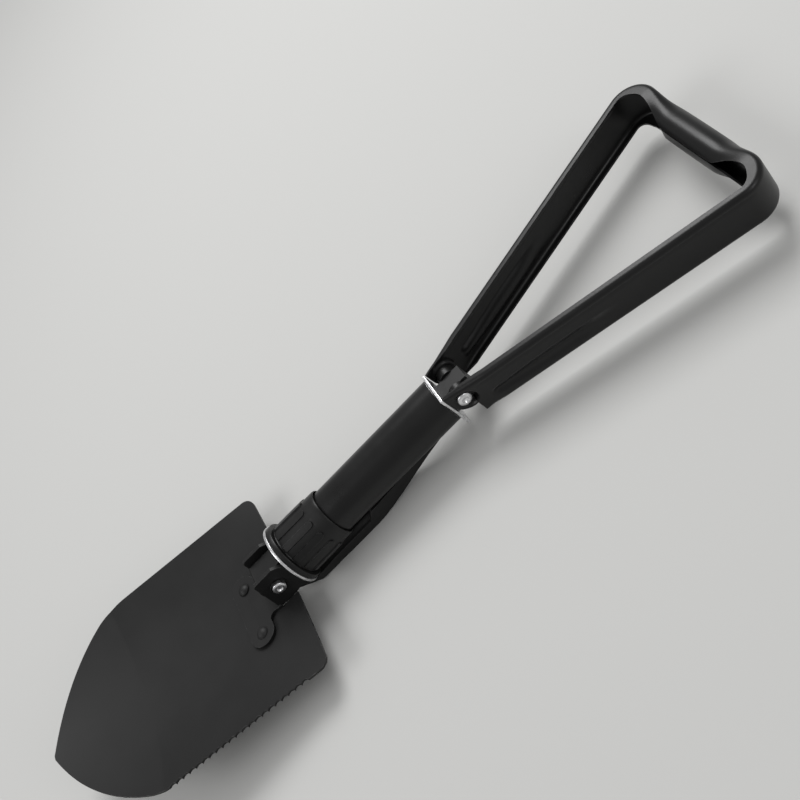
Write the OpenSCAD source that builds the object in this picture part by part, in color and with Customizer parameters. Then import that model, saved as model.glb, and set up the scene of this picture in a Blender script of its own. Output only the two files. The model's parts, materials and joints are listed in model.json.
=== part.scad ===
// Tri-fold camp shovel: dished blade with one toothed edge, folding pick, steel tube with a
// screw lock collar, and a folding D-handle bent from channel. Everything is drawn around the
// blade pivot (x across, y towards the handle, z to the front) and set down by place().

/* [Blade] */
// Width of the blade
blade_w = 150; // [130:1:170]
// Length of the blade from its top edge to its point
blade_len = 196; // [180:1:215]
// Length of the straight side edges below the top corners
side_len = 127; // [110:1:140]
// Thickness of the blade sheet
blade_t = 2; // [1.5:0.1:2.5]
// Depth of the bowl below the plane of the side edges, at the blade's top edge
bowl_top = 5.9; // [4:0.1:7]
// Forward tilt of the blade against the tube
blade_tilt = 10; // [6:0.5:11]
// Extra tilt of the plane that the blade's outline is drawn in
dish_tilt = 1.8; // [0:0.1:2.5]
// Number of teeth along the right edge
teeth = 21; // [12:1:24]

/* [Knuckle] */
// Radius of the pivot bolt's shank
pivot_r = 4; // [3:0.1:4.5]
// Thickness of the tongue that carries the pivot bolt
tongue_w = 14; // [12:0.5:15]
// Thickness of each pick wall and each bracket ear
cheek_t = 2.4; // [2:0.1:2.6]
// Radius of the bracket ears about the pivot
ear_r = 16.1; // [14:0.1:16.2]

/* [Shaft] */
// Outer radius of the tube
tube_r = 15.7; // [15:0.1:15.9]
// Wall of the tube
tube_t = 1.5; // [1.2:0.1:2]
// Distance from the blade pivot to the top of the tube
tube_top = 155.6; // [150:0.2:165]
// Length of the lock collar with its plated ring
collar_len = 40; // [34:1:42]
// Radius of the plated ring under the lock collar's flange
ring_r = 22.4; // [21.8:0.1:22.6]

/* [Handle] */
// Overall reach of the handle above its pivot
handle_reach = 207; // [195:1:215]
// Half the handle's width at its grip
handle_half_w = 64; // [58:1:68]
// Depth of the handle channel, front to back
channel_d = 29; // [26:0.5:30]
// Thickness of the channel sheet
channel_t = 1.3; // [1.1:0.1:1.6]
// Width of the channel's turned-in flanges
flange_w = 5.6; // [4.5:0.1:5.8]
// Radius of the grip at its middle
grip_r = 9.6; // [9:0.1:10]

/* [Hidden] */
$fn = 64;

// Fits: fit is a running or sliding gap on a radius, gap a plain air gap between faces.
fit = 0.05;
gap = 0.3;
eps = 0.02;

// Blade frame: point_z is the depth of the blade's front face at its point.
foot_t = 2.4;
point_z = -16.4;
edge_rise = 7.6;
blade_top = 5;
corner_r = 7;
tooth_pitch = 5.1;
tooth_r = 2.6;
tooth_bite = 2.1;
teeth_start = 11;
blade_point = blade_top - blade_len;
blade_knee = blade_top - side_len;
slot_half = tongue_w / 2 + cheek_t + 0.5;
ear_slot = 12.4;
ear_bottom = -11.2;
ear_front = 14.4;

// Stack across the pivot bolt: tongue, pick walls, ears, washers, head and nut.
pick_in = tongue_w / 2 + fit;
pick_out = pick_in + cheek_t;
ear_in = pick_out + fit;
ear_out = ear_in + cheek_t;
washer_t = 0.8;
washer_r = 5.8;
head_t = 2.2;

// Rivets through the bracket foot and the blade.
rivet_x = 19.1;
rivet_y = -28.7;
rivet_r = 2.5;
rivet_head_r = 4.3;
rivet_head_h = 2.2;
lobe_r = 9.6;
foot_waist = 12.8;

// Shaft stations along y.
ring_y = 16.6;
ring_t = 1.8;
ferrule_top = 60;
thread_top = 30;
tongue_r = 12.8;
tongue_front = 9.6;
tube_bottom = thread_top;
plate_t = 1.8;
plate_top = tube_top + plate_t;

// Handle pivot.
hp_y = plate_top + 9.4;
hp_z = 2.2;
hp_r = 3;
block_half = 5.5;
block_front = 6.4;
lug_in = 12;
plate_front = 13;
channel_front = 13;
handle_end = hp_y + handle_reach;
grip_y = handle_end - grip_r;
grip_z = channel_front - channel_d / 2;

// Pick.
pick_web_z = -30.1;
pick_tip_y = 150;
hub_r = 12.8;
hub_front = 7.6;

// The origin is the middle of the shovel's box, on the surface that it lies on.
mid_y = (handle_end + lowest_y()) / 2;

function lowest_y() = let (a = blade_tilt + dish_tilt)
    blade_point * cos(a) + (point_z - blade_t) * sin(a);

module place() translate([0, -mid_y, -pick_web_z]) children();

// The ears' frame and the dish's frame: y along the blade, z square to it, about the pivot.
module in_blade_frame() rotate([-blade_tilt, 0, 0]) children();
module in_dish_frame() rotate([-blade_tilt - dish_tilt, 0, 0]) children();

// A cylinder along x, from x0 to x1, centred on [y, z].
module rod_x(x0, x1, r, y = 0, z = 0)
    translate([x0, y, z]) rotate([0, 90, 0]) cylinder(r = r, h = x1 - x0);

// A cylinder along y, from y0 to y1, about the tube's axis.
module rod_y(y0, y1, r)
    translate([0, y1, 0]) rotate([90, 0, 0]) cylinder(r = r, h = y1 - y0);

// A side view outline [y, z], extruded from x0 to x1.
module side_plate(x0, x1)
    translate([x0, 0, 0]) rotate([90, 0, 90]) linear_extrude(x1 - x0) children();

module both_sides() {
    children();
    mirror([1, 0, 0]) children();
}

// Points on an arc about c, from angle a0 to a1.
function arc(c, r, a0, a1, n) = [for (i = [0:n]) c + r * [cos(a0 + (a1 - a0) * i / n),
                                                          sin(a0 + (a1 - a0) * i / n)]];

// ---------------------------------------------------------------- blade

// One half of the blade's pointed end: an arc that bulges out between knee and point.
function end_curve(n) = let (
    a = [blade_w / 2, blade_knee], b = [0, blade_point],
    d = b - a, len = norm(d), bulge = 10.5,
    r = (len * len / 4 + bulge * bulge) / (2 * bulge),
    out = [-d[1], d[0]] / len,
    c = (a + b) / 2 - out * (r - bulge),
    a0 = atan2(a[1] - c[1], a[0] - c[0]), a1 = atan2(b[1] - c[1], b[0] - c[0])
) arc(c, r, a0, a1, 14);

// A closed outline from its right half, which runs from the top to the middle of the bottom.
function whole(half) = concat(half, [for (i = [len(half) - 1:-1:0]) if (half[i][0] > 0)
    [-half[i][0], half[i][1]]]);

module blade_outline()
    polygon(whole(concat([[slot_half, ear_bottom], [slot_half, -9], [ear_slot, -9],
                          [ear_slot, blade_top]], blade_half())));

// The blade is a pressed bowl. Below the plane of its side edges it is bowl_depth deep along
// the middle, and it rises with the square of x.
function bowl_depth(v) = let (s = blade_top + 1.5 - v, l = blade_top + 1.5 - blade_point)
    bowl_top * (1 - s / l) + 0.00127 * s * (l - s);
function bowl_curve(v) = v > blade_knee ? bowl_depth(v) / pow(blade_w / 2, 2)
    : bowl_depth(blade_knee) / pow(blade_w / 2, 2) + (blade_knee - v) * 0.00001;
function bowl_z(x, v) = point_z + edge_rise * (v - blade_point) / (blade_top - blade_point)
    - bowl_depth(v) + bowl_curve(v) * x * x;

function blade_half() = concat(
    arc([blade_w / 2 - corner_r, blade_top - corner_r], corner_r, 90, 0, 6), end_curve(14));

module both_2d() {
    children();
    mirror([1, 0]) children();
}

BOWL_X = [for (i = [-8:8]) i * 80 / 8];
BOWL_V = [for (i = [0:16]) 8 - i * 12.6];

// A layer of the bowl between the heights z0 and z1 over the blade's front face.
module bowl_layer(z0, z1) {
    nx = len(BOWL_X);
    n = nx * len(BOWL_V);
    function id(i, j, k) = k * n + j * nx + i;
    points = [for (h = [z0, z1], v = BOWL_V, x = BOWL_X) [x, v, bowl_z(x, v) + h]];
    cells = [for (j = [0:len(BOWL_V) - 2], i = [0:nx - 2]) [i, j]];
    low = [for (c = cells) each [
        [id(c[0], c[1], 0), id(c[0] + 1, c[1], 0), id(c[0] + 1, c[1] + 1, 0)],
        [id(c[0], c[1], 0), id(c[0] + 1, c[1] + 1, 0), id(c[0], c[1] + 1, 0)]]];
    high = [for (f = low) [f[2] + n, f[1] + n, f[0] + n]];
    last = len(BOWL_V) - 1;
    ends = [for (i = [0:nx - 2]) each [
        [id(i, 0, 1), id(i + 1, 0, 1), id(i + 1, 0, 0), id(i, 0, 0)],
        [id(i, last, 0), id(i + 1, last, 0), id(i + 1, last, 1), id(i, last, 1)]]];
    sides = [for (j = [0:last - 1]) each [
        [id(0, j, 0), id(0, j + 1, 0), id(0, j + 1, 1), id(0, j, 1)],
        [id(nx - 1, j, 1), id(nx - 1, j + 1, 1), id(nx - 1, j + 1, 0), id(nx - 1, j, 0)]]];
    faces = concat(low, high, ends, sides);
    polyhedron(points, [for (f = faces) [for (i = [len(f) - 1:-1:0]) f[i]]]);
}

// A dished layer between the heights z0 and z1, cut to a flat outline.
module dished(z0, z1) {
    intersection() {
        translate([0, 0, -60]) linear_extrude(120) children();
        bowl_layer(z0, z1);
    }
}

module blade()
    color([0.17, 0.17, 0.18]) place() difference() {
        in_dish_frame() difference() {
            dished(-blade_t, 0) blade_outline();
            for (i = [0:teeth - 1])
                translate([blade_w / 2 + tooth_r - tooth_bite,
                           -teeth_start - tooth_pitch * (i + 0.5), -60])
                    cylinder(r = tooth_r, h = 120, $fn = 24);
        }
        rivet_holes();
    }

// The middle of a rivet's seat on the foot: how far along the tube, and how deep.
dish_angle = blade_tilt + dish_tilt;
seat_depth = bowl_z(rivet_x, rivet_y) + foot_t;
seat_y = rivet_y * cos(dish_angle) + seat_depth * sin(dish_angle);
seat_z = -rivet_y * sin(dish_angle) + seat_depth * cos(dish_angle);

module rivet_holes()
    both_sides() translate([rivet_x, seat_y, -60]) cylinder(r = rivet_r, h = 120);

// The bracket's foot: a waist under the ears that widens to a lobe at each rivet.
module foot_outline()
    polygon(whole(concat(
        [[slot_half, ear_bottom], [slot_half, -9], [foot_waist, -9], [foot_waist, -11.3],
         [foot_waist - 0.7, -13.2], [foot_waist - 0.9, -15], [foot_waist - 0.5, -17],
         [foot_waist + 0.4, -18.4], [foot_waist + 1.8, -19.3]],
        arc([rivet_x, rivet_y], lobe_r, 100, -90, 19))));

// The height in the ears' frame of their front edge, which runs along the tube.
function ear_edge(v) = (ear_front + v * sin(blade_tilt)) / cos(blade_tilt);

// An ear: square to the blade at the bottom, flat at the front along the tube, and round about
// the pivot so that it turns inside the ring.
module ear()
    difference() {
        union() {
            intersection() {
                rod_x(ear_in, ear_out, ear_r);
                side_plate(ear_in - 1, ear_out + 1)
                    polygon([[ear_bottom, -60], [60, -60], [60, ear_edge(60)],
                             [ear_bottom, ear_edge(ear_bottom)]]);
            }
            translate([ear_in, ear_bottom, -17.2]) cube([cheek_t, 12, 6]);
        }
        rod_x(ear_in - 1, ear_out + 1, pivot_r + fit);
    }

module blade_bracket()
    color([0.19, 0.19, 0.2]) place() {
        difference() {
            in_dish_frame() dished(0, foot_t) foot_outline();
            rivet_holes();
        }
        in_blade_frame() both_sides() ear();
    }

module bracket_rivets()
    color([0.2, 0.2, 0.21]) place() both_sides() translate([rivet_x, seat_y, seat_z]) {
        stack = foot_t + blade_t;
        translate([0, 0, -stack - 1]) cylinder(r = rivet_r, h = stack + 2);
        translate([0, 0, 0.5]) rivet_head(rivet_head_r, rivet_head_h);
        translate([0, 0, -stack - 0.5]) mirror([0, 0, 1]) rivet_head(rivet_head_r - 0.6, 1);
    }

// A domed head: the cap of a sphere, r wide and h high, standing on z = 0.
module rivet_head(r, h) {
    ball = (r * r + h * h) / (2 * h);
    intersection() {
        translate([0, 0, h - ball]) sphere(r = ball);
        cylinder(r = r, h = h);
    }
}

// ---------------------------------------------------------------- pivot

// A domed bolt head with its flat base at x, turned about [y, z], with a driver slot.
module bolt_head(x, r, h, slot, y = 0, z = 0)
    difference() {
        translate([x, y, z]) rotate([0, 90, 0]) rotate_extrude()
            polygon(concat([[0, 0], [r, 0]], [for (a = [0:10:90]) [r * cos(a), h * (0.4 + 0.6 * sin(a))]]));
        translate([x + h - 1, y - slot / 2, z - r]) cube([2, slot, 2 * r]);
    }

module pivot_bolt()
    color([0.78, 0.78, 0.79]) place() {
        rod_x(-ear_out - washer_t - 5, ear_out + washer_t + 1, pivot_r);
        bolt_head(ear_out + washer_t + fit, 4.8, head_t, 1.2);
    }

module pivot_nut()
    color([0.72, 0.72, 0.73]) place()
        difference() {
            translate([-ear_out - washer_t - fit, 0, 0]) rotate([0, -90, 0])
                cylinder(r = 7, h = 4, $fn = 6);
            rod_x(-30, 0, pivot_r);
        }

module pivot_washers()
    color([0.7, 0.7, 0.71]) place() both_sides()
        difference() {
            rod_x(ear_out + fit, ear_out + fit + washer_t, washer_r);
            rod_x(ear_out - 1, ear_out + 4, pivot_r);
        }

// ---------------------------------------------------------------- pick

// The pick's back, from the hub along the web to the point.
PICK_BACK = [[-9, -9], [16, -28.3], [28, -29.6], [42, pick_web_z], [68, pick_web_z], [82, -28.9],
             [95, -26.9], [108, -24.3], [122, -21.8], [pick_tip_y, -18.4]];
// The pick's edge towards the tube, clear of the ring, the collar's travel and the tube.
PICK_FRONT = [[pick_tip_y, -17], [72, -17], [66, -22.9], [15.6, -22.9], [12, 0], [0, 5]];
PICK_WIDTH = [[-20, pick_out], [16, pick_out], [34, 8.2], [72, 8], [pick_tip_y, 1.6]];

module pick_plan(inset)
    polygon(whole([for (p = PICK_WIDTH) [p[1] - inset, p[0]]]));

module pick_side() {
    intersection() {
        circle(r = hub_r);
        translate([-20, -20]) square([40, 20 + hub_front]);
    }
    polygon(concat(PICK_BACK, PICK_FRONT));
}

// The channel between the walls: above the web, and round about the tongue.
module pick_channel() {
    polygon(concat([for (p = PICK_BACK) p + [0.5, cheek_t]], [[160, 20], [-30, 20]]));
    circle(r = 13.2);
}

module pick()
    color([0.12, 0.12, 0.13]) place()
        difference() {
            intersection() {
                side_plate(-20, 20) pick_side();
                translate([0, 0, -60]) linear_extrude(120) pick_plan(0);
            }
            intersection() {
                side_plate(-20, 20) pick_channel();
                translate([0, 0, -60]) linear_extrude(120) pick_plan(cheek_t);
            }
            rod_x(-20, 20, pivot_r + fit);
        }

// ---------------------------------------------------------------- shaft

module shaft_tube()
    color([0.16, 0.16, 0.17]) place()
        difference() {
            rod_y(tube_bottom, tube_top, tube_r);
            rod_y(tube_bottom - 1, tube_top + 1, tube_r - tube_t);
            for (y = PIN_Y) back_pin(y, 1);
        }

// Pins enter from the back of the tube and stop inside the plugs: two hold the ferrule, one
// holds the handle block.
PIN_Y = [tube_bottom + 8, tube_bottom + 20, tube_top - 12];
pin_r = 2.2;
pin_depth = 9;

module back_pin(y, out)
    translate([0, y, -tube_r - out]) cylinder(r = pin_r, h = pin_depth + out);

module threaded_ferrule()
    color([0.6, 0.6, 0.62]) place()
        difference() {
            union() {
                rod_y(ear_r + gap, tube_bottom, tube_r);
                rod_y(tube_bottom - eps, ferrule_top, tube_r - tube_t);
                side_plate(-tongue_w / 2, tongue_w / 2) tongue_side();
            }
            rod_x(-20, 20, pivot_r);
            back_pin(PIN_Y[0], 1);
            back_pin(PIN_Y[1], 1);
        }

module tongue_side()
    intersection() {
        union() {
            circle(r = tongue_r);
            translate([0, -tongue_r]) square([ear_r + 1, 2 * tongue_r]);
        }
        translate([-20, -20]) square([60, 20 + tongue_front]);
    }

module ferrule_pins()
    color([0.2, 0.2, 0.2]) place()
        for (i = [0:1]) pin_body(PIN_Y[i]);

// A pin cut flush with the tube's round back.
module pin_body(y)
    intersection() {
        back_pin(y, 1);
        rod_y(y - 5, y + 5, tube_r);
    }

// ---------------------------------------------------------------- lock collar

collar_base = ring_y + ring_t;
flange_t = 3.4;
flange_r = ring_r - 0.8;
rib_count = 12;
rib_end = collar_base + 29;

module collar_ring()
    color([0.86, 0.86, 0.87]) place()
        difference() {
            rod_y(ring_y, collar_base, ring_r);
            rod_y(ring_y - 1, collar_base + 1, tube_r + fit);
        }

module collar_insert()
    color([0.65, 0.65, 0.66]) place()
        difference() {
            rod_y(collar_base, collar_base + 14, 17);
            rod_y(collar_base - 1, collar_base + 15, tube_r + fit);
        }

module collar_body()
    translate([0, collar_base, 0]) rotate([-90, 0, 0]) rotate_extrude()
        polygon([[17, 0], [flange_r, 0], [flange_r, flange_t - 0.6], [flange_r - 0.6, flange_t],
                 [18.3, flange_t], [18.1, 29], [17.6, collar_len - ring_t - 0.5],
                 [17.2, collar_len - ring_t], [tube_r + gap, collar_len - ring_t],
                 [tube_r + gap, 14], [17, 14]]);

module lock_collar()
    color([0.13, 0.13, 0.14]) place() {
        collar_body();
        for (i = [0:rib_count - 1]) rotate([0, i * 360 / rib_count, 0])
            translate([-2.6, collar_base + flange_t - eps, 17.3])
                cube([5.2, rib_end - collar_base - flange_t, 1.6]);
    }

// ---------------------------------------------------------------- handle joint

// The block's section passes through the plate and into the plug in the tube.
block_back = -12;
block_top = plate_top + 18.6;
plate_half_w = 13.2;
plate_back = -17;

module block_section(grow)
    translate([-block_half - grow, block_back - grow])
        square([2 * (block_half + grow), block_front - block_back + 2 * grow]);

module along_y(y0, y1)
    translate([0, y1, 0]) rotate([90, 0, 0]) linear_extrude(y1 - y0) children();

module handle_block()
    color([0.27, 0.27, 0.28]) place()
        difference() {
            union() {
                along_y(tube_top - 8, block_top) block_section(0);
                rod_y(tube_top - 26, tube_top, tube_r - tube_t);
            }
            rod_x(-20, 20, hp_r, hp_y, hp_z);
            back_pin(PIN_Y[2], 1);
        }

module block_pin()
    color([0.2, 0.2, 0.2]) place() pin_body(PIN_Y[2]);

module stop_plate()
    color([0.88, 0.88, 0.89]) place()
        along_y(tube_top, plate_top) difference() {
            translate([-plate_half_w, plate_back])
                square([2 * plate_half_w, plate_front - plate_back]);
            block_section(0);
        }

module handle_spacers()
    color([0.35, 0.35, 0.36]) place() both_sides()
        difference() {
            rod_x(block_half, lug_in - fit, 6.5, hp_y, hp_z);
            rod_x(0, 20, hp_r, hp_y, hp_z);
        }

module handle_bolt()
    color([0.8, 0.8, 0.81]) place() {
        rod_x(-lug_in - channel_t - 4.4, lug_in + channel_t + 1, hp_r, hp_y, hp_z);
        bolt_head(lug_in + channel_t + fit, 5.2, 2.8, 1.2, hp_y, hp_z);
    }

module handle_nut()
    color([0.74, 0.74, 0.75]) place()
        difference() {
            translate([-lug_in - channel_t - fit, hp_y, hp_z]) rotate([0, -90, 0])
                cylinder(r = 5.6, h = 3.6, $fn = 6);
            rod_x(-30, 0, hp_r, hp_y, hp_z);
        }

// ---------------------------------------------------------------- handle

// Half the handle's outer outline, inset by d: a lug line, an arm line and a round corner.
lug_foot = [13.4, plate_top + gap];
arm_foot = [22.3, plate_top + 27.6];
bend_r = 17;
bend_c = [handle_half_w - bend_r, handle_end - 1.6 - bend_r];

function arm_angle() = let (d = bend_c - arm_foot)
    atan2(d[1], d[0]) - asin(bend_r / norm(d));
function lug_angle() = let (d = arm_foot - lug_foot) atan2(d[1], d[0]);
// The inward normal of a line at angle a.
function inward(a) = [-sin(a), cos(a)];
// Where two lines meet, each given by a point and an angle.
function meet(p, a, q, b) = p + [cos(a), sin(a)]
    * ((q[0] - p[0]) * sin(b) - (q[1] - p[1]) * cos(b)) / sin(b - a);

function handle_half(d) = let (
    la = lug_angle(), aa = arm_angle(),
    p = lug_foot + inward(la) * d, q = arm_foot + inward(aa) * d,
    low = lug_foot[1] - (d > 0 ? 20 : 0)
) concat([meet(p, la, [0, low], 0), meet(p, la, q, aa)],
         arc(bend_c, bend_r - d, aa - 90, 90, 12));

module handle_shape(d)
    both_2d() polygon(concat([[-1, lug_foot[1] - (d > 0 ? 20 : 0)]], handle_half(d),
                             [[-1, bend_c[1] + bend_r - d]]));

module handle_strip(width)
    difference() {
        handle_shape(0);
        handle_shape(width);
    }

grip_half = 50;
flange_foot = plate_top + 17;
back_flange_foot = plate_top + 27;

// A bulging tube about x: the rolled part of the channel.
module grip_spindle(inset, half)
    translate([0, grip_y, grip_z]) rotate([0, 90, 0]) rotate_extrude()
        polygon(concat([[0, -half]], [for (i = [-12:12]) let (s = half * i / 12)
            [grip_r * (0.84 + 0.16 * cos(90 * s / grip_half)) - inset, s]], [[0, half]]));

module channel_walls() {
    z0 = channel_front - channel_d;
    difference() {
        union() {
            translate([0, 0, z0]) linear_extrude(channel_d) handle_strip(channel_t);
            for (f = [[z0, back_flange_foot], [channel_front - channel_t, flange_foot]])
                translate([0, 0, f[0]]) linear_extrude(channel_t) difference() {
                    handle_strip(flange_w);
                    translate([-40, 0]) square([80, f[1]]);
                }
        }
        translate([-grip_half + 4, grip_y - 12, z0 - 1]) cube([2 * grip_half - 8, 40, channel_d + 2]);
    }
}

// The pressed-in pads that the lugs turn on.
module lug_pads()
    intersection() {
        both_sides() rod_x(lug_in, lug_in + 8, 8.4, hp_y, hp_z);
        translate([0, 0, -40]) linear_extrude(80) handle_shape(0);
    }

// What the lugs lose at the back: all but a round about the pivot, so that they clear the plate.
module lug_relief()
    side_plate(-40, 40) difference() {
        translate([hp_y - 20, hp_z - 30]) square([23.4, 30]);
        translate([hp_y, hp_z]) circle(r = 9.1);
    }

module handle_frame()
    color([0.14, 0.14, 0.15]) place()
        difference() {
            union() {
                channel_walls();
                lug_pads();
                grip_spindle(0, grip_half);
            }
            grip_spindle(channel_t, grip_half + 1);
            lug_relief();
            both_sides() rod_x(lug_in + channel_t, 40, 7.1, hp_y, hp_z);
            rod_x(-40, 40, hp_r + fit, hp_y, hp_z);
        }

blade();
blade_bracket();
bracket_rivets();
pivot_bolt();
pivot_nut();
pivot_washers();
pick();
shaft_tube();
threaded_ferrule();
ferrule_pins();
lock_collar();
collar_insert();
collar_ring();
stop_plate();
handle_block();
block_pin();
handle_frame();
handle_bolt();
handle_nut();
handle_spacers();
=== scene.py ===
"""Looks of the tri-fold camp shovel: painted sheet steel, plated fasteners and a plastic collar,
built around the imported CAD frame. Lengths in the builders are millimetres from the blade pivot:
x across the blade, y towards the handle, z to the front."""

import json
import math

import bmesh
import bpy
from mathutils import Matrix, Vector


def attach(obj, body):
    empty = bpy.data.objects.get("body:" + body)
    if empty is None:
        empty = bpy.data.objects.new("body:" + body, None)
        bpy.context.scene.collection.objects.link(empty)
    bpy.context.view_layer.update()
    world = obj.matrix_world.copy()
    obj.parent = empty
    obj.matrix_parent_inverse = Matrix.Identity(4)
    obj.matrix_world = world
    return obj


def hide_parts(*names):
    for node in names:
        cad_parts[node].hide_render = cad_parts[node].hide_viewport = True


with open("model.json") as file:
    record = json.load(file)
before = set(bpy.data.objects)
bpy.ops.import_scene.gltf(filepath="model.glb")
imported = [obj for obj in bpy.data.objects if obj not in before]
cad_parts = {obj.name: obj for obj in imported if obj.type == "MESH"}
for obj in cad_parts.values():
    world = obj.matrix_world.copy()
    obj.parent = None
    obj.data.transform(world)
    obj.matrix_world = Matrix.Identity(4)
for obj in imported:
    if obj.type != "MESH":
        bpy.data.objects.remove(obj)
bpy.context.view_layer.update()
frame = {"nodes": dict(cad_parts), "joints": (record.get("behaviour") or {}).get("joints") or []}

MM = 0.001
JOINTS = {j["name"]: Vector(j["pos_m"]) for j in frame["joints"]}
PIVOT = JOINTS["blade_fold"]
HANDLE_PIN = (JOINTS["handle_fold"] - PIVOT) / MM


def at(x, y, z):
    """A place given in millimetres from the blade pivot, in the frame's metres."""
    return PIVOT + Vector((x, y, z)) * MM


def smooth(t):
    t = min(max(t, 0.0), 1.0)
    return t * t * (3 - 2 * t)


def mix(a, b, t):
    return a + (b - a) * t


def along(table, s):
    """The value at s in a table of (s, value) rows, straight between the rows."""
    if s <= table[0][0]:
        return table[0][1]
    for (s0, v0), (s1, v1) in zip(table, table[1:]):
        if s <= s1:
            return mix(v0, v1, (s - s0) / (s1 - s0))
    return table[-1][1]


# ------------------------------------------------------------------ camera, floor and light


def make_camera():
    """The viewpoint: in front of the blade's right side, close enough to show perspective."""
    eye = at(433.5, 255.9, 452.9)
    forward = Vector((-0.6996, -0.1870, -0.6896)).normalized()
    up = Vector((-0.5853, 0.7035, 0.4030))
    right = forward.cross(up).normalized()
    up = right.cross(forward)
    data = bpy.data.cameras.new("camera")
    data.sensor_width = 36.0
    data.lens = 47.25
    data.clip_start = 0.01
    camera = bpy.data.objects.new("camera", data)
    basis = Matrix((right, up, -forward)).transposed().to_4x4()
    camera.matrix_world = Matrix.Translation(eye) @ basis
    bpy.context.scene.collection.objects.link(camera)
    bpy.context.scene.camera = camera


def make_floor():
    mesh = bpy.data.meshes.new("floor")
    half = 6.0
    mesh.from_pydata([(-half, -half, 0), (half, -half, 0), (half, half, 0), (-half, half, 0)],
                     [], [(0, 1, 2, 3)])
    floor = bpy.data.objects.new("floor", mesh)
    bpy.context.scene.collection.objects.link(floor)
    material = bpy.data.materials.new("floor_paper")
    material.use_nodes = True
    shader = material.node_tree.nodes["Principled BSDF"]
    shader.inputs["Base Color"].default_value = (0.50, 0.50, 0.49, 1)
    shader.inputs["Roughness"].default_value = 0.9
    mesh.materials.append(material)


def area_light(name, place, target, size, power):
    data = bpy.data.lights.new(name, "AREA")
    data.shape = "RECTANGLE"
    data.size, data.size_y = size
    data.energy = power
    light = bpy.data.objects.new(name, data)
    light.location = place
    aim = Vector(target) - Vector(place)
    light.rotation_euler = aim.to_track_quat("-Z", "Y").to_euler()
    bpy.context.scene.collection.objects.link(light)


def make_lights():
    area_light("key", (-0.9, 0.5, 1.4), (0, 0, 0.02), (0.9, 0.9), 22)
    area_light("front", (0.2, -1.2, 1.3), (0, 0, 0.02), (1.0, 0.8), 9)
    area_light("rim", (1.2, 1.0, 1.0), (0, 0.1, 0.02), (0.5, 1.0), 5)
    world = bpy.data.worlds.new("studio")
    world.use_nodes = True
    background = world.node_tree.nodes["Background"]
    background.inputs["Color"].default_value = (1, 1, 1, 1)
    background.inputs["Strength"].default_value = 0.40
    bpy.context.scene.world = world
    bpy.context.scene.view_settings.view_transform = "Standard"


# ------------------------------------------------------------------ materials


class Nodes:
    """Short calls for building one material's node tree."""

    def __init__(self, name):
        self.material = bpy.data.materials.new(name)
        self.material.use_nodes = True
        self.tree = self.material.node_tree
        self.shader = self.tree.nodes["Principled BSDF"]
        self.place = self.add("ShaderNodeTexCoord").outputs["Object"]

    def add(self, kind):
        return self.tree.nodes.new(kind)

    def link(self, source, target):
        self.tree.links.new(source, target)

    def noise(self, scale, detail=2.0, rough=0.5):
        node = self.add("ShaderNodeTexNoise")
        node.inputs["Scale"].default_value = scale
        node.inputs["Detail"].default_value = detail
        node.inputs["Roughness"].default_value = rough
        self.link(self.place, node.inputs["Vector"])
        return node.outputs["Fac"]

    def remap(self, value, low, high, to_low=0.0, to_high=1.0):
        node = self.add("ShaderNodeMapRange")
        node.inputs["From Min"].default_value = low
        node.inputs["From Max"].default_value = high
        node.inputs["To Min"].default_value = to_low
        node.inputs["To Max"].default_value = to_high
        self.link(value, node.inputs["Value"])
        return node.outputs["Result"]

    def math(self, kind, a, b):
        node = self.add("ShaderNodeMath")
        node.operation = kind
        for socket, value in zip(node.inputs, (a, b)):
            if isinstance(value, (int, float)):
                socket.default_value = value
            else:
                self.link(value, socket)
        return node.outputs["Value"]

    def colour(self, fac, a, b):
        node = self.add("ShaderNodeMix")
        node.data_type = "RGBA"
        self.link(fac, node.inputs["Factor"])
        for socket, value in ((node.inputs[6], a), (node.inputs[7], b)):
            if isinstance(value, tuple):
                socket.default_value = (*value, 1)
            else:
                self.link(value, socket)
        return node.outputs[2]

    def edges(self, radius, low, high):
        """1 on an outer edge and 0 on a flat face, from how far a rounded normal leans."""
        bevel = self.add("ShaderNodeBevel")
        bevel.samples = 4
        bevel.inputs["Radius"].default_value = radius
        geometry = self.add("ShaderNodeNewGeometry")
        lean = self.add("ShaderNodeVectorMath")
        lean.operation = "DOT_PRODUCT"
        self.link(bevel.outputs["Normal"], lean.inputs[0])
        self.link(geometry.outputs["Normal"], lean.inputs[1])
        return self.remap(lean.outputs["Value"], high, low)

    def bumps(self, *layers):
        """Bump from (height, distance in metres, strength) layers, one on another."""
        normal = None
        for height, distance, strength in layers:
            node = self.add("ShaderNodeBump")
            node.inputs["Distance"].default_value = distance
            node.inputs["Strength"].default_value = strength
            self.link(height, node.inputs["Height"])
            if normal is not None:
                self.link(normal, node.inputs["Normal"])
            normal = node.outputs["Normal"]
        self.link(normal, self.shader.inputs["Normal"])


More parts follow.
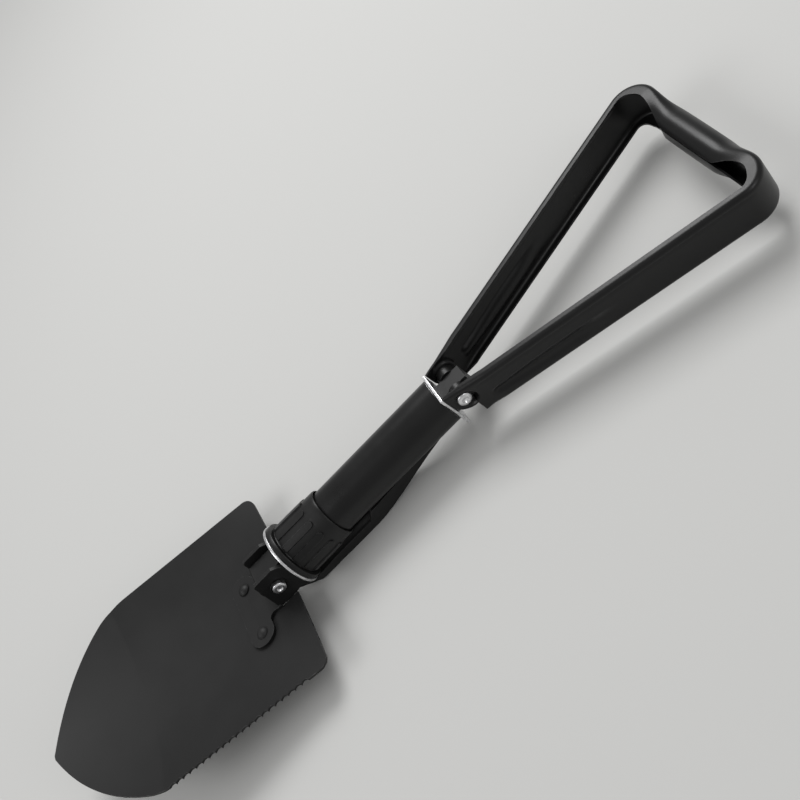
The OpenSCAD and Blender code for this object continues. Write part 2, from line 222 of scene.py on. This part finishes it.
def coated_steel(name, dark, light, rough, grain=1500.0, wear=0.5):
    """Powder-coated sheet: a fine orange peel, cloudy gloss, fine light specks of dust scattered
    at random, worn edges.
    """
    n = Nodes(name)
    cloud = n.remap(n.noise(22.0, 4.0, 0.6), 0.3, 0.7)
    peel = n.noise(grain, 2.0)
    speck = n.remap(n.noise(2600.0, 1.0), 0.62, 0.72)
    body = n.colour(cloud, dark, light)
    body = n.colour(n.math("MULTIPLY", speck, 0.25), body, tuple(2.1 * c for c in light))
    rub = n.remap(n.noise(260.0, 5.0, 0.65), 0.46, 0.66)
    worn = n.math("MULTIPLY", n.math("MULTIPLY", n.edges(0.0006, 0.80, 0.97), rub), wear)
    n.link(n.colour(worn, body, (0.19, 0.19, 0.19)), n.shader.inputs["Base Color"])
    gloss = n.math("ADD", n.remap(cloud, 0, 1, rough - 0.05, rough + 0.06),
                   n.remap(peel, 0.3, 0.7, -0.03, 0.03))
    n.link(gloss, n.shader.inputs["Roughness"])
    n.shader.inputs["Specular IOR Level"].default_value = 0.30
    n.bumps((peel, 0.00006, 0.35), (n.noise(120.0, 2.0), 0.0002, 0.12))
    return n.material


def plated(name, dark, light, rough):
    """Zinc or nickel plate: bright, faintly brushed and spangled."""
    n = Nodes(name)
    spangle = n.remap(n.noise(420.0, 3.0), 0.35, 0.65)
    n.link(n.colour(spangle, dark, light), n.shader.inputs["Base Color"])
    n.shader.inputs["Metallic"].default_value = 1.0
    n.link(n.remap(n.noise(900.0, 4.0), 0.3, 0.7, rough - 0.06, rough + 0.10),
           n.shader.inputs["Roughness"])
    n.bumps((n.noise(2200.0, 2.0), 0.00004, 0.3))
    return n.material


def moulded(name, dark, light, rough):
    """Moulded plastic: a spark-eroded grain, a broad waviness and scuffed edges."""
    n = Nodes(name)
    cloud = n.remap(n.noise(60.0, 3.0), 0.3, 0.7)
    body = n.colour(cloud, dark, light)
    scuff = n.math("MULTIPLY", n.edges(0.0005, 0.85, 0.98),
                   n.remap(n.noise(500.0, 3.0), 0.45, 0.65))
    n.link(n.colour(n.math("MULTIPLY", scuff, 0.4), body, (0.12, 0.12, 0.12)),
           n.shader.inputs["Base Color"])
    n.link(n.remap(cloud, 0, 1, rough - 0.05, rough + 0.06), n.shader.inputs["Roughness"])
    n.shader.inputs["Specular IOR Level"].default_value = 0.30
    n.bumps((n.noise(3200.0, 1.0), 0.00005, 0.4), (n.noise(180.0, 1.0), 0.0002, 0.08))
    return n.material


BLADE = coated_steel("blade_coat", (0.006, 0.006, 0.006), (0.009, 0.009, 0.009), 0.50)
HANDLE = coated_steel("handle_coat", (0.004, 0.004, 0.004), (0.007, 0.007, 0.007), 0.34)
TUBE = coated_steel("tube_coat", (0.004, 0.004, 0.004), (0.006, 0.006, 0.006), 0.32, 1900.0)
BLOCK = coated_steel("block_coat", (0.018, 0.018, 0.018), (0.026, 0.026, 0.026), 0.50)
TONGUE = coated_steel("tongue_oxide", (0.008, 0.008, 0.008), (0.014, 0.014, 0.014), 0.40)
ZINC = plated("zinc_plate", (0.62, 0.62, 0.63), (0.82, 0.82, 0.83), 0.30)
STEEL = plated("plain_steel", (0.34, 0.34, 0.35), (0.46, 0.46, 0.47), 0.38)
PLASTIC = moulded("collar_plastic", (0.004, 0.004, 0.004), (0.007, 0.007, 0.007), 0.40)

# ------------------------------------------------------------------ mesh helpers


def piece(name, verts, faces, material, body, nodes, crease=35.0):
    """Makes one smooth-shaded piece from pivot millimetres and hangs it on its CAD body."""
    mesh = bpy.data.meshes.new(name)
    mesh.from_pydata([at(*v) for v in verts], [], faces)
    bm = bmesh.new()
    bm.from_mesh(mesh)
    bmesh.ops.remove_doubles(bm, verts=bm.verts, dist=0.000004)
    bmesh.ops.dissolve_degenerate(bm, edges=bm.edges, dist=0.000002)
    bmesh.ops.recalc_face_normals(bm, faces=bm.faces)
    bm.to_mesh(mesh)
    bm.free()
    mesh.shade_smooth()
    mesh.set_sharp_from_angle(angle=math.radians(crease))
    mesh.materials.append(material)
    obj = bpy.data.objects.new(name, mesh)
    bpy.context.scene.collection.objects.link(obj)
    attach(obj, body)
    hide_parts(*nodes)
    return obj


def soften(obj, width, segments=2, angle=40.0):
    """Rounds an object's edges by width millimetres, with even shading over the faces."""
    bevel = obj.modifiers.new("edge", "BEVEL")
    bevel.width = width * MM
    bevel.segments = segments
    bevel.limit_method = "ANGLE"
    bevel.angle_limit = math.radians(angle)
    bevel.harden_normals = False
    weighted = obj.modifiers.new("shade", "WEIGHTED_NORMAL")
    weighted.keep_sharp = True
    return obj


def finish_node(node, material, width, angle):
    """Gives a kept CAD node its material and rounded edges."""
    obj = frame["nodes"][node]
    obj.data.materials.clear()
    obj.data.materials.append(material)
    weld = obj.modifiers.new("weld", "WELD")
    weld.merge_threshold = 0.000002
    soften(obj, width, angle=angle)


def loft(rows, closed=True):
    """Skins rows of equal length; a closed loft's rows are loops, and its ends are not capped."""
    verts = [p for row in rows for p in row]
    n = len(rows[0])
    faces = []
    for r in range(len(rows) - 1):
        for i in range(n if closed else n - 1):
            j = (i + 1) % n
            faces.append((r * n + i, r * n + j, (r + 1) * n + j, (r + 1) * n + i))
    return verts, faces


def join(*parts):
    verts, faces = [], []
    for v, f in parts:
        base = len(verts)
        verts += v
        faces += [tuple(base + i for i in face) for face in f]
    return verts, faces


def turned(profile, steps=64, axis="x", centre=(0, 0, 0)):
    """A closed solid of revolution from (along, radius) rows that start and end on the axis."""
    rows = []
    for s, r in profile:
        row = []
        for k in range(steps):
            a = 2 * math.pi * k / steps
            u, v = r * math.cos(a), r * math.sin(a)
            p = (s, u, v) if axis == "x" else (v, s, u) if axis == "y" else (u, v, s)
            row.append(tuple(c + d for c, d in zip(centre, p)))
        rows.append(row)
    return loft(rows)


# ------------------------------------------------------------------ handle

LUG_FOOT = (13.4, 157.7)
ARM_FOOT = (22.3, 185.0)
BEND_R = 17.0
BEND_C = (47.0, 355.2)
SHEET = 1.3
GRIP_HALF = 47.0
# The rolled grip: z of its middle, how far that lies inside the web, half height, half depth.
GRIP_Z, GRIP_SINK, GRIP_TALL, GRIP_DEEP = -0.3, 8.0, 9.6, 10.7
GRIP_BLEND = 26.0
WEB_FRONT, WEB_BACK = 13.0, -16.0
RELIEF_R, RELIEF_TOP = 9.1, 3.4


def handle_path():
    """Stations up the right arm and along the grip: (x, y, inward angle)."""
    lug = math.atan2(ARM_FOOT[1] - LUG_FOOT[1], ARM_FOOT[0] - LUG_FOOT[0])
    dx, dy = BEND_C[0] - ARM_FOOT[0], BEND_C[1] - ARM_FOOT[1]
    arm = math.atan2(dy, dx) - math.asin(BEND_R / math.hypot(dx, dy))
    stations = []
    y, step = LUG_FOOT[1], 0.9
    while y < 195.0:
        below = LUG_FOOT[0] + (y - LUG_FOOT[1]) / math.tan(lug)
        above = ARM_FOOT[0] + (y - ARM_FOOT[1]) / math.tan(arm)
        t = smooth((y - 179.0) / 12.0)
        stations.append((mix(below, above, t), y, mix(lug, arm, t) + math.pi / 2))
        y += step
    a0 = arm - math.pi / 2
    end = BEND_C[1] + BEND_R * math.sin(a0)
    count = 62
    for i in range(1, count):
        y = mix(195.0, end, i / count)
        x = ARM_FOOT[0] + (y - ARM_FOOT[1]) / math.tan(arm)
        stations.append((x, y, arm + math.pi / 2))
    count = 26
    for i in range(count + 1):
        a = mix(a0, math.pi / 2, i / count)
        stations.append((BEND_C[0] + BEND_R * math.cos(a), BEND_C[1] + BEND_R * math.sin(a),
                         a + math.pi))
    x = GRIP_HALF
    while x > 0.01:
        x -= 0.8 if x > 30 else 1.6
        stations.append((max(x, 0.0), BEND_C[1] + BEND_R, -math.pi / 2))
    return stations


def channel_section(flange_front, flange_back, back):
    """Outer skin of the channel as (inward, z) points, from the front flange round to the back."""
    def bend(width):
        return min(3.2, max(width - 0.35, 0.6))

    rf, rb = bend(flange_front), bend(flange_back)
    skin = [(mix(flange_front, rf, i / 4), WEB_FRONT) for i in range(4)]
    for i in range(7):
        a = math.pi / 2 * i / 6
        skin.append((rf - rf * math.sin(a), WEB_FRONT - rf + rf * math.cos(a)))
    top, bottom = WEB_FRONT - rf, back + rb
    for i in range(1, 24):
        skin.append((0.0, mix(top, bottom, i / 24)))
    for i in range(7):
        a = math.pi / 2 * i / 6
        skin.append((rb - rb * math.cos(a), back + rb - rb * math.sin(a)))
    skin += [(mix(rb, flange_back, i / 4), back) for i in range(1, 5)]
    return skin


def roll_section(x, count):
    """Outer skin of the rolled grip: front lip, round the outside, and back under to the seam."""
    t = min(abs(x) / GRIP_HALF, 1.0)
    tall = GRIP_TALL * (0.90 + 0.10 * math.cos(math.pi / 2 * t ** 1.5))
    deep = GRIP_DEEP * (0.90 + 0.10 * math.cos(math.pi / 2 * t))
    start = mix(33.0, 52.0, smooth((t - 0.45) / 0.5))
    skin = []
    for i in range(count):
        a = along([(0, start), (10, 138.0), (34, 228.0), (44, 378.0)], 44 * i / (count - 1))
        tuck = 1.0 - 0.14 * smooth((a - 335.0) / 40.0)
        a = math.radians(a)
        skin.append((GRIP_SINK + tall * math.cos(a) * tuck,
                     GRIP_Z + deep * math.sin(a) * tuck))
    return skin


def offset_skin(skin, thickness):
    """The skin's inner side: each point moved inward along its own normal."""
    inner = []
    for i, p in enumerate(skin):
        a = skin[max(i - 1, 0)]
        b = skin[min(i + 1, len(skin) - 1)]
        tx, tz = b[0] - a[0], b[1] - a[1]
        size = math.hypot(tx, tz) or 1.0
        inner.append((p[0] - tz / size * thickness, p[1] + tx / size * thickness))
    return inner


def press(p, y, x_line):
    """The press work on an arm's web: the bolt's seat, a bead along the front, a long flute."""
    n, z = p
    flat = smooth((3.4 - n) / 1.2)
    seat = math.hypot(y - HANDLE_PIN.y, z - HANDLE_PIN.z)
    pad = (x_line - 13.3) * (1 - smooth((seat - 5.8) / 2.2))
    run = smooth((y - 180.0) / 5.0) * (1 - smooth((y - 236.0) / 40.0))
    across = (z + 5.6) / mix(3.6, 6.0, smooth((y - 180) / 40))
    flute = 2.3 * run * max(0.0, 1 - across * across) ** 1.3
    bead_run = smooth((y - 176.0) / 8.0) * (1 - smooth((y - 348.0) / 10.0))
    bead = 0.55 * bead_run * max(0.0, 1 - ((z - 8.6) / 1.3) ** 2)
    return n + flat * max(pad, flute, bead), z


def handle_rows():
    rows = []
    stations = handle_path()
    previous = None
    for x, y, inward in stations:
        on_grip = inward == -math.pi / 2
        cut = smooth((GRIP_HALF - x) / GRIP_BLEND) if on_grip else 0.0
        corner = smooth((y - 353.0) / 19.0)
        front = mix(2.6, 5.4, smooth((y - 158.0) / 24.0)) + 3.0 * corner
        behind = 5.4 if y > 200 else max(1.4, min(5.4, x - 15.9))
        behind += 6.5 * corner
        relief_y = HANDLE_PIN.y + RELIEF_TOP
        backs = [WEB_BACK]
        if y <= relief_y:
            reach = RELIEF_R ** 2 - (y - HANDLE_PIN.y) ** 2
            backs = [HANDLE_PIN.z - math.sqrt(max(reach, 0.01))]
        elif previous is not None and previous <= relief_y:
            backs = [HANDLE_PIN.z - math.sqrt(RELIEF_R ** 2 - RELIEF_TOP ** 2), WEB_BACK]
        previous = y
        for back in backs:
            skin = channel_section(front, behind, back)
            if not on_grip:
                skin = [press(p, y, x) for p in skin]
            if cut > 0:
                roll = roll_section(x, len(skin))
                skin = [(mix(a, c, cut), mix(b, d, cut)) for (a, b), (c, d) in zip(skin, roll)]
            inner = offset_skin(skin, SHEET)
            loop = skin + inner[::-1]
            c, s = math.cos(inward), math.sin(inward)
            rows.append([(x + n * c, y + n * s, z) for n, z in loop])
    return rows


def capped(rows):
    """A closed loft with its two end loops filled as strips between skin and inner side."""
    verts, faces = loft(rows)
    n = len(rows[0])
    for base in (0, (len(rows) - 1) * n):
        for i in range(n // 2 - 1):
            faces.append((base + i, base + i + 1, base + n - 2 - i, base + n - 1 - i))
    return verts, faces


def make_handle():
    right = handle_rows()
    left = [[(-x, y, z) for x, y, z in row] for row in reversed(right[:-1])]
    verts, faces = capped(right + left)
    piece("handle", verts, faces, HANDLE, "handle_body", ["handle_frame"], 50)


# ------------------------------------------------------------------ blade

BLADE_HALF, BLADE_TOP, BLADE_KNEE, BLADE_POINT = 75.0, 5.0, -122.0, -191.0
BLADE_T, POINT_Z, EDGE_RISE, BOWL_TOP = 2.0, -16.4, 7.6, 5.9
TILT = math.radians(11.8)
SLOT_HALF, SLOT_FOOT = 9.9, -11.2
EAR_SLOT_HALF, EAR_SLOT_FOOT = 12.4, -9.0
TOOTH_PITCH, TOOTH_R, TOOTH_BITE, TEETH, TEETH_START = 5.1, 2.6, 2.1, 21, 11.0
KNEE_ROUND, KNEE_REACH = 1.45, 13.0
CORNER_R, BOWL_SAG, POINT_CURL = 7.0, 0.00127, 0.00001


def bowl_depth(v):
    """How far the pressed bowl's middle lies below the plane of the blade's edges."""
    run, length = BLADE_TOP + 1.5 - v, BLADE_TOP + 1.5 - BLADE_POINT
    return BOWL_TOP * (1 - run / length) + BOWL_SAG * run * (length - run)


def dished(x, v, depth):
    """A point of the blade's front surface, at depth below it, in pivot millimetres."""
    knee = max(v, BLADE_KNEE)
    curve = bowl_depth(knee) / BLADE_HALF ** 2 + (knee - v) * POINT_CURL
    rise = EDGE_RISE * (v - BLADE_POINT) / (BLADE_TOP - BLADE_POINT)
    z = POINT_Z + rise - bowl_depth(v) + curve * x * x - depth
    return (x, v * math.cos(TILT) + z * math.sin(TILT), -v * math.sin(TILT) + z * math.cos(TILT))


def end_half_width(v):
    """Half the blade's width on its pointed end."""
    ax, ay, bx, by = BLADE_HALF, BLADE_KNEE, 0.0, BLADE_POINT
    length, bulge = math.hypot(bx - ax, by - ay), 10.5
    r = (length ** 2 / 4 + bulge ** 2) / (2 * bulge)
    ox, oy = -(by - ay) / length, (bx - ax) / length
    cx, cy = (ax + bx) / 2 - ox * (r - bulge), (ay + by) / 2 - oy * (r - bulge)
    return cx + math.sqrt(max(r * r - (v - cy) ** 2, 0.0))


def edge_x(v, toothed):
    if v > BLADE_TOP - CORNER_R:
        rise = v - (BLADE_TOP - CORNER_R)
        return BLADE_HALF - CORNER_R + math.sqrt(max(CORNER_R ** 2 - rise ** 2, 0.0))
    half = BLADE_HALF if v >= BLADE_KNEE else end_half_width(v)
    half -= KNEE_ROUND * max(0.0, 1 - abs(v - BLADE_KNEE) / KNEE_REACH) ** 2
    if toothed:
        d = (-TEETH_START - v) % TOOTH_PITCH - TOOTH_PITCH / 2
        if 0 <= -TEETH_START - v <= TEETH * TOOTH_PITCH and abs(d) < TOOTH_R:
            bite = BLADE_HALF + TOOTH_R - TOOTH_BITE - math.sqrt(TOOTH_R ** 2 - d * d)
            half = min(half, bite)
    return half


def blade_levels():
    levels = [BLADE_TOP - CORNER_R + CORNER_R * math.sin(math.radians(a))
              for a in range(90, -1, -10)]
    levels += [-4.0, -6.0, -7.6, EAR_SLOT_FOOT, EAR_SLOT_FOOT - 0.3, -10.2, SLOT_FOOT]
    for k in range(TEETH):
        for i in range(9):
            levels.append(-TEETH_START - TOOTH_PITCH * (k + i / 9))
    levels += [-TEETH_START - TOOTH_PITCH * TEETH, -121.0, BLADE_KNEE]
    v = BLADE_KNEE
    while v > BLADE_POINT + 4.0:
        v -= 2.0
        levels.append(v)
    levels += [BLADE_POINT + 2.4, BLADE_POINT + 1.2, BLADE_POINT + 0.5]
    return sorted(set(round(v, 4) for v in levels), reverse=True)


def make_blade():
    levels = blade_levels()
    across = 22
    middle = 6
    rows = []
    for v in levels:
        left, right = -edge_x(v, False), edge_x(v, True)
        slot = EAR_SLOT_HALF if v > EAR_SLOT_FOOT - 0.1 else SLOT_HALF
        knot = slot * min(1.0, min(right, -left) / 40.0)
        xs = [mix(left, -knot, i / across) for i in range(across + 1)]
        xs += [mix(-knot, knot, i / middle) for i in range(1, middle)]
        xs += [mix(knot, right, i / across) for i in range(across + 1)]
        rows.append((v, xs))
    n = len(rows[0][1])
    verts, faces = [], []
    for depth in (0.0, BLADE_T):
        for v, xs in rows:
            verts += [dished(x, v, depth) for x in xs]
    layer = len(rows) * n
    slot_row = levels.index(SLOT_FOOT)

    def quad(r, i):
        return (r * n + i, r * n + i + 1, (r + 1) * n + i + 1, (r + 1) * n + i)

    for r in range(len(rows) - 1):
        for i in range(n - 1):
            if r < slot_row and across <= i < across + middle:
                continue
            q = quad(r, i)
            faces.append(q)
            faces.append(tuple(k + layer for k in reversed(q)))
    count = {}
    for face in faces:
        if face[0] >= layer:
            continue
        for a, b in zip(face, face[1:] + face[:1]):
            count[frozenset((a, b))] = (count.get(frozenset((a, b)), (0,))[0] + 1, a, b)
    for times, a, b in list(count.values()):
        if times == 1:
            faces.append((b, a, a + layer, b + layer))
    blade = piece("blade_plate", verts, faces, BLADE, "blade_body", ["blade"], 40)
    soften(blade, 0.35, 2, 50)


# ------------------------------------------------------------------ lock collar

RIB_Y0, RIB_Y1 = 22.6, 47.4
RIBS = 12
RIB_HALF, RIB_HIGH, RIB_ROOT = 2.6, 0.85, 18.5


def collar_radius(y):
    return along([(22.6, 18.2), (40.0, 18.0), (55.4, 17.65), (56.2, 17.5), (56.6, 17.15)], y)


def make_collar():
    outer = [(18.4, 17.0), (18.4, 21.2), (18.7, 21.6), (21.2, 21.6), (21.7, 21.3), (21.8, 20.9),
             (21.8, 18.0), (22.5, 17.6)]
    ys = [22.6, 22.9, 23.3, 24.0] + [mix(24.8, 44.4, i / 12) for i in range(13)]
    ys += [RIB_Y1 - RIB_HALF * (1 - math.sin(math.radians(a))) for a in range(0, 91, 10)]
    ys += [47.8, 49.5, 52.0, 54.0, 55.4, 55.9, 56.2, 56.5, 56.6]
    shares = [-1.12, -1.0, -0.86, -0.45, 0.0, 0.45, 0.86, 1.0, 1.12]
    heights = [0.0, 0.0, 1.0, 1.0, 1.0, 1.0, 1.0, 0.0, 0.0]
    between = [0.3, 0.5, 0.7]
    half = math.degrees(math.asin(RIB_HALF / RIB_ROOT))
    pitch = 360.0 / RIBS

    def ring(y, r, ribbed=False):
        row = []
        width = half
        rise = 0.0
        if ribbed and RIB_Y0 < y <= RIB_Y1 + 0.001:
            rise = RIB_HIGH * smooth((y - RIB_Y0 + 0.1) / 0.5)
            over = max(0.0, (y - (RIB_Y1 - RIB_HALF)) / RIB_HALF)
            width = half * max(math.sqrt(max(1 - over * over, 0.0)), 0.12)
            if over >= 0.999:
                rise = 0.0
        for k in range(RIBS):
            for share, height in zip(shares, heights):
                a = math.radians(k * pitch + share * width)
                rr = r + rise * height
                row.append((rr * math.sin(a), y, rr * math.cos(a)))
            for b in between:
                a = math.radians(k * pitch + mix(1.12 * width, pitch - 1.12 * width, b))
                row.append((r * math.sin(a), y, r * math.cos(a)))
        return row

    rows = [ring(y, r) for y, r in outer]
    rows += [ring(y, collar_radius(y), True) for y in ys]
    inner = [(56.6, 16.75), (56.2, 16.5), (52.0, 16.05), (32.4, 16.0), (32.4, 17.0)]
    rows += [ring(y, r) for y, r in inner]
    rows.append(ring(18.4, 17.0))
    verts, faces = loft(rows)
    piece("collar_shell", verts, faces, PLASTIC, "collar_body",
          ["lock_collar"], 32)


# ------------------------------------------------------------------ fasteners


def bolt_profile(x, radius, height):
    """A round head standing on x: rolled edge, domed face and a dimple in its middle."""
    rows = [(x, 0.0), (x, radius - 0.15), (x + 0.2, radius), (x + 0.45 * height, radius)]
    for a in range(10, 91, 10):
        t = math.radians(a)
        rows.append((x + height * (0.45 + 0.55 * math.sin(t)),
                     radius * (0.52 + 0.48 * math.cos(t))))
    rows += [(x + height - 0.05, radius * 0.46), (x + height - 0.35, radius * 0.40),
             (x + height - 0.9, radius * 0.30), (x + height - 1.1, radius * 0.14),
             (x + height - 1.15, 0.0)]
    return rows


def make_bolts():
    """Both bolts, each a row: name, CAD node, centre, the head's base, radius and height, the
    shank's tip and radius, and the depth and length of the tip's chamfer."""
    upper = (0, HANDLE_PIN.y, HANDLE_PIN.z)
    bolts = [("pivot_bolt_plated", "pivot_bolt", (0, 0, 0), 12.75, 4.6, 2.2, -17.9, 4.0, 0.7, 0.6),
             ("handle_bolt_plated", "handle_bolt", upper, 13.35, 5.0, 2.8, -17.7, 3.0, 0.6, 0.5)]
    for name, node, centre, base, radius, height, tip, shank_r, chamfer, length in bolts:
        head = turned(bolt_profile(base, radius, height), centre=centre)
        shank = turned([(tip, 0.0), (tip, shank_r - chamfer), (tip + length, shank_r),
                        (base + 0.02, shank_r), (base + 0.02, 0.0)], 48, centre=centre)
        verts, faces = join(head, shank)
        piece(name, verts, faces, ZINC, "root", [node], 30)


make_camera()
make_floor()
make_lights()
make_handle()
make_blade()
make_collar()
make_bolts()
# The kept CAD nodes: material, edge radius in millimetres and the angle that counts as an edge.
FINISHES = [
    ("blade_bracket", BLADE, 0.35, 40.0),
    ("bracket_rivets", BLADE, 0.25, 60),
    ("pick", BLADE, 0.9, 40.0),
    ("shaft_tube", TUBE, 0.3, 40.0),
    ("threaded_ferrule", TONGUE, 0.3, 40.0),
    ("ferrule_pins", TUBE, 0.15, 40.0),
    ("block_pin", TUBE, 0.15, 40.0),
    ("pivot_nut", ZINC, 0.35, 40.0),
    ("handle_nut", ZINC, 0.3, 40.0),
    ("pivot_washers", TUBE, 0.15, 40.0),
    ("collar_ring", ZINC, 0.35, 40.0),
    ("collar_insert", STEEL, 0.2, 40.0),
    ("stop_plate", ZINC, 0.3, 40.0),
    ("handle_block", BLOCK, 0.4, 40.0),
    ("handle_spacers", TUBE, 0.25, 40.0),
]
for node, material, width, angle in FINISHES:
    finish_node(node, material, width, angle)
